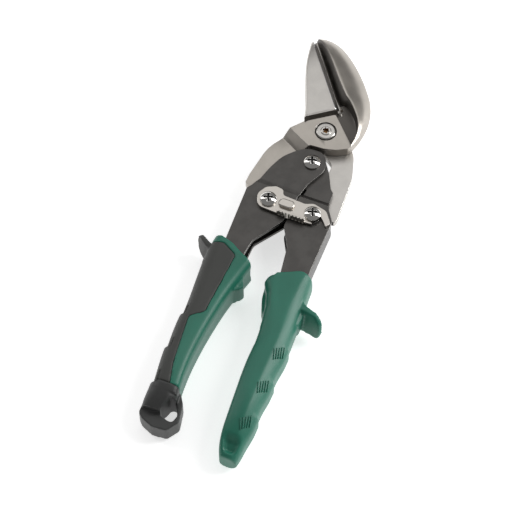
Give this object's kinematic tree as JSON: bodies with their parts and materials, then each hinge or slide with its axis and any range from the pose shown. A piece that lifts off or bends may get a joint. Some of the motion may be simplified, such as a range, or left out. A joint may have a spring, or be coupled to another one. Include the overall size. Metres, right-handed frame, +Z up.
{
  "type": "aviation snips",
  "caption": "Offset right-cut sheet-metal snips with compound leverage, a hooked beak blade, pressed-steel handles with moulded grips, a lock latch and a lanyard eye.",
  "frame": {"origin": "on the main pivot bolt's axis, in the plane that the closed tool rests on", "axes": "+Y towards the blade tips, +Z up out of the screw heads' side, +X to the right seen from above"},
  "size_m": [0.0782, 0.2543, 0.024],
  "materials": {
    "jaw_steel": "satin forged steel, ground on the front face",
    "blade_steel": "pale satin ground steel",
    "handle_steel": "dark gunmetal coating",
    "screw_chrome": "bright plated",
    "bolt_steel": "turned steel",
    "black_steel": "blackened steel",
    "latch_nickel": "satin nickel plate",
    "green_plastic": "satin moulded plastic",
    "black_rubber": "soft matt overmould",
    "black_plastic": "matt moulded plastic"
  },
  "bodies": {
    "rear_jaw": {"rear_jaw": "blade_steel", "main_bolt": "bolt_steel", "main_nut": "black_steel", "main_washer": "black_steel", "head_washer": "black_steel"},
    "front_jaw": {"front_jaw": "jaw_steel"},
    "left_handle": {"left_handle": "handle_steel", "left_washers": "black_steel", "left_link_screw": "screw_chrome", "left_link_nut": "black_steel", "left_spring_pin": "bolt_steel", "latch_washer": "bolt_steel", "left_grip": "green_plastic", "left_overmould": "black_rubber", "end_loop": "black_plastic"},
    "right_handle": {"right_handle": "handle_steel", "right_washers": "black_steel", "right_link_screw": "screw_chrome", "right_link_nut": "black_steel", "middle_screw": "screw_chrome", "middle_nut": "black_steel", "middle_spacer": "bolt_steel", "right_spring_pin": "bolt_steel", "return_spring": "black_steel", "right_grip": "green_plastic"},
    "latch": {"latch_plate": "latch_nickel", "latch_button": "latch_nickel"}
  },
  "joints": [
    {"name": "jaw_open", "type": "hinge", "parent": "rear_jaw", "child": "front_jaw", "pos_m": [0, 0, 0.0115], "axis": [0, 0, -1], "range_deg": [0, 20]},
    {"name": "left_handle_swing", "type": "hinge", "parent": "front_jaw", "child": "left_handle", "pos_m": [-0.0124, -0.0518, 0.0115], "axis": [0, 0, -1], "range_deg": [0, 7.54]},
    {"name": "right_handle_swing", "type": "hinge", "parent": "rear_jaw", "child": "right_handle", "pos_m": [0.0124, -0.0518, 0.0115], "axis": [0, 0, 1], "range_deg": [0, 7.54]},
    {"name": "latch_turn", "type": "hinge", "parent": "left_handle", "child": "latch", "pos_m": [-0.0124, -0.0518, 0.0115], "axis": [0, 0, 1], "range_deg": [0, 45.5]}
  ],
  "couplings": [
    {"joint": "left_handle_swing", "follows": "jaw_open", "ratio": 0.3618},
    {"joint": "right_handle_swing", "follows": "jaw_open", "ratio": 0.3618},
    {"joint": "latch_turn", "follows": "jaw_open", "ratio": 2.25}
  ]
}
